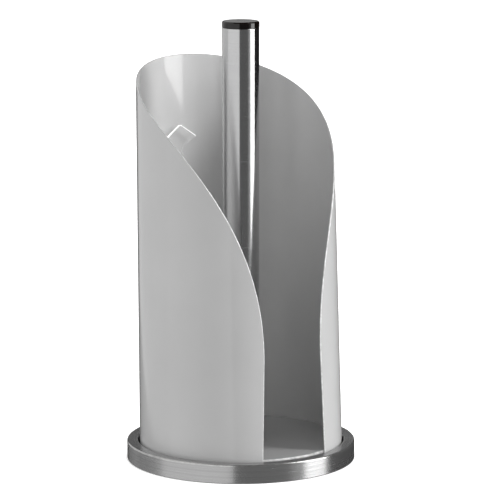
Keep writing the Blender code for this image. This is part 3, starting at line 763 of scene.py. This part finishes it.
# The lid on the tube: a chamfered disc with a hollow plug below it.
def makePoleCap(sizes):
    low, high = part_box("pole_cap")
    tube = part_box("pole_tube")[1]
    plug = tube.x - sizes["wall"] - sizes["plugGap"]
    under, chamfer, soft = low.z + sizes["plugDepth"], sizes["capChamfer"], sizes["capChamferRound"]
    outline, edge = roundedOutline([
        (0, under, 0),
        (plug - sizes["plugWall"], under, soft / 2),
        (plug - sizes["plugWall"], low.z, soft / 2),
        (plug, low.z, soft),
        (plug, under, soft / 4),
        (high.x, under, soft / 2),
        (high.x, high.z - chamfer, soft),
        (high.x - chamfer, high.z, soft),
        (0, high.z, 0),
    ])
    mesh = turnedMesh("poleLid", outline, edge, sizes["segments"], closed=False)
    return addPiece("poleLid", mesh, capPlastic, "pole_cap")


washerSizes = {
    "segments": 96,
    "hole": 0.0033,
    "soft": 0.0002,
    "springTurn": math.radians(346),
}


# The flat washer: its punched upper edge is rounder than the other three.
def makeFlatWasher(sizes):
    low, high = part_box("flat_washer")
    hole, soft = sizes["hole"], sizes["soft"]
    outline, edge = roundedOutline([
        (hole, low.z, soft),
        (high.x, low.z, soft),
        (high.x, high.z, 2 * soft),
        (hole, high.z, soft),
    ])
    mesh = turnedMesh("flatWasher", outline, edge, sizes["segments"])
    return addPiece("flatWasher", mesh, zincPlate, "flat_washer")


# The split washer: a rounded oblong carried round most of a turn, its two cut ends closed flat.
def makeSpringWasher(sizes):
    low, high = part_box("spring_washer")
    hole, out, soft = sizes["hole"], high.y, sizes["soft"]
    outline, edge = roundedOutline([
        (hole, low.z, soft),
        (out, low.z, soft),
        (out, high.z, soft),
        (hole, high.z, soft),
    ])
    gap = (2 * math.pi - sizes["springTurn"]) / 2
    turn = np.linspace(gap, 2 * math.pi - gap, sizes["segments"])[:, None]
    radius, height = outline[None, :, 0], outline[None, :, 1]
    points = np.stack([radius * np.cos(turn), radius * np.sin(turn), height + 0 * turn], axis=2)
    index = np.arange(points.shape[0] * points.shape[1]).reshape(points.shape[:2])
    along = np.roll(index, -1, axis=1)
    quads = np.stack([index[:-1], along[:-1], along[1:], index[1:]], axis=2).reshape(-1, 4)
    middle = points.mean(axis=1)[[0, -1]]
    caps = [
        np.stack([0 * index[0] + index.size, along[0], index[0]], axis=1),
        np.stack([0 * index[0] + index.size + 1, index[-1], along[-1]], axis=1),
    ]
    points = np.concatenate([points.reshape(-1, 3), middle])
    edges = np.concatenate([np.tile(edge, len(turn)), [0, 0]])
    mesh = closedMesh("springWasher", points, quads, np.concatenate(caps), edges)
    return addPiece("springWasher", mesh, zincPlate, "spring_washer")


boltSizes = {
    "segments": 96,
    "headHeight": 0.004,
    "shank": 0.003,
    "socket": 0.003,
    "soft": 0.0002,
    "pitch": 0.001,
    "ridge": 0.0002,
    "threadPoints": 220,
    "bareNeck": 0.0001,
    "bareTip": 0.0004,
    "tipTaper": 0.0006,
}


# The bolt, head down: a cylinder head and a threaded shank.
def makePoleBolt(sizes):
    low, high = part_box("pole_bolt")
    soft, socket, shank = sizes["soft"], sizes["socket"] * hexFlat, sizes["shank"]
    neck, floor = low.z + sizes["headHeight"], low.z + sizes["headHeight"] / 2
    headed, edge = roundedOutline([
        (0, floor, 0),
        (socket, floor, soft / 2),
        (socket, low.z, soft / 2),
        (high.x, low.z, 2 * soft),
        (high.x, neck, soft),
        (shank, neck, 0),
    ])
    mesh = threadedMesh("poleBolt", headed[:-1], edge[:-1], neck, high.z, (0, 0), sizes)
    return addPiece("poleBolt", mesh, zincPlate, "pole_bolt")


makePoleTube(poleSizes)
makePoleCap(poleSizes)
makeFlatWasher(washerSizes)
makeSpringWasher(washerSizes)
makePoleBolt(boltSizes)
print("pole built")

brakeSizes = {
    "columns": 40,
    "rows": 48,
    "side": math.radians(129.3),
    "hinge": 0.172,
    "pad": 0.2146,
    "padWidth": 0.0275,
    "padLength": 0.017,
    "tipWidth": 0.0014,
    "stemWidth": 0.005,
    "thickness": 0.0016,
    "edgeRound": 0.00035,
    "standOff": 0.004,
    "footWidth": 0.014,
    "footLength": 0.018,
    "footThickness": 0.0024,
    "tape": 0.0008,
    "margin": 0.001,
    "rootGap": 0.0005,
    "gap": 0.0003,
}


# The brake's own axes on the sleeve's inner wall: its origin, then along the wall, inwards and up the wall.
def brakeAxes(sizes, sleeve):
    side = sizes["side"]

    # the sleeve's section is round at every height, so the distance along the sheet to this side is
    # its angle from the high side x the radius there
    def wallPoint(height):
        radius = sleeve["radius"] - sleeve["taper"] * (height - sleeve["foot"])
        along = (side - sleeve["highSide"]) * radius
        return sleevePoint(along, np.array(height), sleeve["sheet"], sleeve)

    low, high = wallPoint(sizes["hinge"]), wallPoint(sizes["pad"])
    up = unitRows(high - low)
    level = np.array([-math.cos(side), -math.sin(side), 0])
    inwards = unitRows(level - up * (level @ up))
    return low, np.cross(inwards, up), inwards, up


# A plate curved to the wall. Its outline is half widths over heights, its back is at lean x height + back
# off the wall, and a point lies at that distance in from the wall: x = radius sin(angle),
# y = wall - radius cos(angle), with angle = across / (wall - back).
def brakePlate(name, heights, halfWidths, back, lean, thickness, sizes, sleeve):
    origin, side, inwards, up = brakeAxes(sizes, sleeve)
    wall = sleeve["radius"] - sleeve["taper"] * (sizes["hinge"] - sleeve["foot"]) - sleeve["sheet"]
    low, high = heights[0], heights[-1]

    def place(across, rise, inset, depth):
        height = low + inset + (high - low - 2 * inset) * rise
        half = np.interp(height, heights, halfWidths) - inset
        offBack = back + lean * height
        angle = half * (2 * across - 1) / (wall - offBack)
        radius = wall - offBack - depth
        x, y = radius * np.sin(angle), wall - radius * np.cos(angle)
        return origin + x[:, None] * side + y[:, None] * inwards + height[:, None] * up

    return sheetMesh(name, place, sizes["columns"], sizes["rows"], thickness, sizes["edgeRound"])


def makeBrake(sizes, sleeve):
    tapeBack = sizes["gap"]
    footBack = tapeBack + sizes["tape"] + sizes["gap"]
    margin, width = sizes["margin"], sizes["footWidth"]

    heights, halfWidths = [margin - sizes["footLength"], -margin], [width / 2 - margin] * 2
    mesh = brakePlate("brakeTape", heights, halfWidths, tapeBack, 0, sizes["tape"], sizes, sleeve)
    addPiece("brakeTape", mesh, clearTape, "brake_tape")

    heights, halfWidths = [-sizes["footLength"], 0], [width / 2] * 2
    mesh = brakePlate("brakeFoot", heights, halfWidths, footBack, 0, sizes["footThickness"], sizes, sleeve)
    addPiece("brakeFoot", mesh, clearPlastic, "brake_foot")

    # the leaf leans in from the middle of the foot's top, and widens from its stem to a pointed pad
    pad = sizes["pad"] - sizes["hinge"]
    rootBack = footBack + (sizes["footThickness"] - sizes["thickness"]) / 2
    lean = (sizes["standOff"] - rootBack) / pad
    stem, wide, tip = sizes["stemWidth"] / 2, sizes["padWidth"] / 2, sizes["tipWidth"] / 2
    shoulder = pad - sizes["padLength"] / 2 * (1 - stem / wide)
    heights = [sizes["rootGap"], shoulder, pad, pad + sizes["padLength"] / 2]
    halfWidths = [stem, stem, wide, tip]
    mesh = brakePlate("brakeLeaf", heights, halfWidths, rootBack, lean, sizes["thickness"], sizes, sleeve)
    addPiece("brakeLeaf", mesh, clearPlastic, "brake_leaf", "brake")


makeBrake(brakeSizes, sleeveSizes)
print("roll brake built")

nodeFinishes = {"ballast_disc": castIron, "bottom_plate": platePlastic, "pole_insert": zincPlate}
for nodeName, finish in nodeFinishes.items():
    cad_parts[nodeName].material_slots[0].material = finish
print("finishes given to the CAD nodes")

studio = {
    "floorSize": 30.0,
    "floorDark": (0.86, 0.86, 0.86),
    "floorLight": (0.88, 0.88, 0.88),
    "floorGlow": (0.75, 1.1),  # the floor's own light, near the object and far from it
    "glowFrom": (0.4, 1.5),  # the distances from the object that those two are at
    # contactShade is a painted contact shadow: the floor's own light is cut to nothing under the base
    "contactShade": (0.0765, 0.0800),  # its own light starts between these distances, at the base's edge
    "worldGrey": 0.02,
    "camera": (0.0, -2.0683, 0.5133),
    "tilt": 10.128,
    "swing": -0.174,
    "lens": 222.6,
}

deep, footTop, tall = -3.0, -0.3, 3.5  # the heights that most of the soft lights start or end at

# Each soft light: the two ends of its line on the floor plan, its lowest and highest point, its brightness.
softLights = {
    "frontCard": ((-0.30, -3.40), (1.72, -1.38), footTop, tall, 0.10),
    "frontFoot": ((-0.30, -3.40), (1.72, -1.38), deep, footTop, 0.17),
    "leftWall": ((-0.42, -3.40), (-1.42, -0.12), deep, tall, 0.95),
    "leftEnd": ((-1.42, -0.12), (-0.90, 1.95), footTop, tall, 0.72),
    "leftFoot": ((-1.42, -0.12), (-1.45, 0.10), deep, footTop, 0.42),
    "cornerFoot": ((-1.45, 0.10), (-1.46, 0.36), deep, footTop, 0.15),
    "turnFoot": ((-1.46, 0.36), (-1.40, 0.75), deep, footTop, 0.03),
    "backFoot": ((-1.35, 0.95), (-0.90, 1.95), deep, footTop, 0.14),
    "rightEdge": ((1.72, -1.38), (1.97, -0.86), deep, tall, 0.36),
    "rightStrip": ((1.97, -0.86), (2.20, 0.15), footTop, tall, 5.0),
    "rightFoot": ((1.97, -0.86), (2.20, 0.15), deep, footTop, 1.4),
    "backLow": ((0.60, 2.60), (-0.60, 2.60), 0.44, 0.60, 0.45),
    "backHigh": ((0.60, 2.60), (-0.60, 2.60), 0.60, 2.2, 0.03),
}

# Each high light: where it hangs over the object, its width and its brightness.
highLights = {
    "topLight": ((0.0, 0.0, 2.6), 2.0, 1.0),
    "frontLight": ((0.3, -2.4, 1.9), 1.6, 2.5),
    "keyLight": ((2.2, -0.55, 1.5), 0.6, 25.0),
    "rimLight": ((1.5, 1.7, 2.0), 1.6, 3.5),
}


# The floor. It adds a light of its own to the studio's, which rises with the distance from the object, with
# a painted contact shadow under the base.
def makeFloor(sizes):
    half = sizes["floorSize"] / 2
    corners = [(-half, -half, 0), (half, -half, 0), (half, half, 0), (-half, half, 0)]
    mesh = bpy.data.meshes.new("studioFloor")
    mesh.from_pydata(corners, [], [(0, 1, 2, 3)])
    floor = bpy.data.objects.new("studioFloor", mesh)
    bpy.context.scene.collection.objects.link(floor)
    material, tree, shader, place = newFinish("paleFloor")[:4]
    mottle = useGroup(tree, unevenness, Vector=place, Broad=3.0, Fine=60.0)
    colour = blendColour(tree, mottle["Cloud"], sizes["floorDark"], sizes["floorLight"])
    feed(tree, shader["Base Color"], colour)
    feed(tree, shader["Roughness"], sumOf(tree, 0.8, (mottle["Grain"], 0.1)))
    away = tree.nodes.new("ShaderNodeVectorMath")
    away.operation = "LENGTH"
    feed(tree, away.inputs[0], place)
    glow = spreadNode(tree, away.outputs["Value"], *sizes["glowFrom"], *sizes["floorGlow"])
    # the painted contact shadow: the floor's own light starts only outside the base's edge
    clear = spreadNode(tree, away.outputs["Value"], *sizes["contactShade"], 0.0, 1.0)
    feed(tree, shader["Emission Color"], (1, 1, 1, 1))
    feed(tree, shader["Emission Strength"], mathNode(tree, "MULTIPLY", glow, clear))
    mesh.materials.append(material)
    floor.visible_glossy = False
    floor.visible_diffuse = False
    floor.visible_shadow = False


# An upright soft light. Brightness is its radiance, so its power is brightness x pi x its area.
def makeSoftLight(name, first, second, low, high, brightness):
    first, second = np.array(first), np.array(second)
    middle = (first + second) / 2
    width = float(np.linalg.norm(second - first))
    light = bpy.data.lights.new(name, "AREA")
    light.shape = "RECTANGLE"
    light.size, light.size_y = width, high - low
    light.energy = brightness * math.pi * width * (high - low)
    panel = bpy.data.objects.new(name, light)
    panel.location = (*middle, (low + high) / 2)
    across = second - first
    facing = np.array([across[1], -across[0]])
    facing = facing if facing @ middle < 0 else -facing
    panel.rotation_euler = (math.pi / 2, 0, math.atan2(facing[1], facing[0]) + math.pi * 3 / 2)
    panel.visible_camera = False
    bpy.context.scene.collection.objects.link(panel)


# A round soft light above the object, turned to face it.
def makeHighLight(name, spot, size, brightness):
    light = bpy.data.lights.new(name, "AREA")
    light.shape = "DISK"
    light.size = size
    light.energy = brightness * math.pi * math.pi * size * size / 4
    panel = bpy.data.objects.new(name, light)
    panel.location = spot
    lean = math.atan2(math.hypot(*spot[:2]), spot[2])
    panel.rotation_euler = (lean, 0, math.atan2(spot[1], spot[0]) + math.pi / 2)
    panel.visible_camera = False
    panel.visible_glossy = False
    bpy.context.scene.collection.objects.link(panel)


# The room round the lights: grey where it lights the object, pale where the camera sees past the floor.
def makeRoom(grey):
    world = bpy.data.worlds.new("studioRoom")
    world.use_nodes = True
    tree = world.node_tree
    tree.nodes.clear()
    seen = tree.nodes.new("ShaderNodeBackground")
    lit = tree.nodes.new("ShaderNodeBackground")
    seen.inputs["Color"].default_value = (1, 1, 1, 1)
    lit.inputs["Color"].default_value = (grey, grey, grey, 1)
    pick = tree.nodes.new("ShaderNodeMixShader")
    feed(tree, pick.inputs[0], tree.nodes.new("ShaderNodeLightPath").outputs["Is Camera Ray"])
    feed(tree, pick.inputs[1], lit.outputs[0])
    feed(tree, pick.inputs[2], seen.outputs[0])
    feed(tree, tree.nodes.new("ShaderNodeOutputWorld").inputs["Surface"], pick.outputs[0])
    bpy.context.scene.world = world


def makeCamera(sizes):
    lens = bpy.data.cameras.new("camera")
    lens.lens = sizes["lens"]
    lens.clip_end = 100
    camera = bpy.data.objects.new("camera", lens)
    camera.location = sizes["camera"]
    camera.rotation_euler = (math.radians(90 - sizes["tilt"]), 0, math.radians(sizes["swing"]))
    bpy.context.scene.collection.objects.link(camera)
    bpy.context.scene.camera = camera


makeFloor(studio)
for lightName, lightPlan in softLights.items():
    makeSoftLight(lightName, *lightPlan)
for lightName, lightPlan in highLights.items():
    makeHighLight(lightName, *lightPlan)
makeRoom(studio["worldGrey"])
makeCamera(studio)
bpy.context.scene.view_settings.view_transform = "Standard"
print("studio built")
